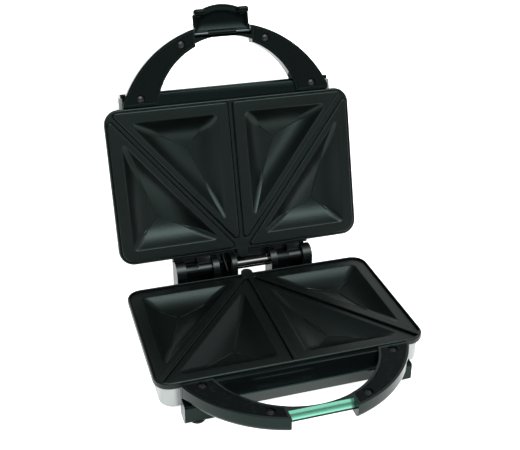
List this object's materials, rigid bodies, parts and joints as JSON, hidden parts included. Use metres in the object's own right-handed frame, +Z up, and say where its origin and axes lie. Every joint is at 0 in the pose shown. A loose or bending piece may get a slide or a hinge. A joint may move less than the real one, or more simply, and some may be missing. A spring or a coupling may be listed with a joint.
{
  "type": "sandwich toaster",
  "caption": "Countertop sandwich toaster with hinged cooking halves, triangular pockets, arched front handles and a snap latch, standing open.",
  "frame": {"origin": "centre of the outline seen from above, on the plane that the feet stand on, with the lid open", "axes": "+X to the right across the plates, +Y from the handle to the hinge, +Z up"},
  "size_m": [0.235, 0.3016, 0.2719],
  "materials": {
    "silver_shell": "smooth silver, satin",
    "nonstick": "black non-stick coat, fine satin texture",
    "grip_black": "matt, fine grain",
    "gloss_black": "polished black",
    "satin_black": "satin black",
    "bright_steel": "bright zinc plating",
    "element_steel": "dull sheath",
    "bare_aluminium": "bare sheet",
    "foot_rubber": "matt",
    "cable_black": "glossy sleeve",
    "steatite": "unglazed",
    "red_lens": "clear red",
    "green_lens": "clear green",
    "lamp_glass": "clear"
  },
  "bodies": {
    "base": {"base_shell": "silver_shell", "base_fascia": "gloss_black", "base_handle": "gloss_black", "base_grip_left": "grip_black", "base_grip_right": "grip_black", "base_grip_screws": "bright_steel", "base_plate": "nonstick", "base_plate_screws": "bright_steel", "base_element": "element_steel", "base_reflector": "bare_aluminium", "bottom_cover": "satin_black", "bottom_cover_screws": "bright_steel", "foot_front_left": "foot_rubber", "foot_front_right": "foot_rubber", "foot_rear_left": "foot_rubber", "foot_rear_right": "foot_rubber", "hinge_block": "satin_black", "hinge_pin_left": "bright_steel", "hinge_pin_right": "bright_steel", "hinge_tie_bar": "gloss_black", "cord_inlet_bush": "satin_black", "terminal_block": "steatite", "link_lead": "cable_black"},
    "lid": {"lid_shell": "silver_shell", "lid_fascia": "gloss_black", "lid_handle": "gloss_black", "lid_grip_left": "grip_black", "lid_grip_right": "grip_black", "lid_grip_screws": "bright_steel", "lid_plate": "nonstick", "lid_plate_screws": "bright_steel", "lid_element": "element_steel", "lid_reflector": "bare_aluminium", "lid_hinge_bracket": "satin_black", "power_lens": "red_lens", "ready_lens": "green_lens", "power_lamp": "lamp_glass", "ready_lamp": "lamp_glass", "thermostat": "steatite", "thermal_fuse": "steatite", "latch_pin": "bright_steel"},
    "latch": {"latch": "gloss_black"}
  },
  "joints": [
    {"name": "lid_hinge", "type": "hinge", "parent": "base", "child": "lid", "pos_m": [0, 0.07273, 0.0392], "axis": [1, 0, 0], "range_deg": [0, 107], "deforming": ["link_lead"]},
    {"name": "latch_pivot", "type": "hinge", "parent": "lid", "child": "latch", "pos_m": [0, 0.1391, 0.24739], "axis": [1, 0, 0], "range_deg": [0, 90]}
  ]
}
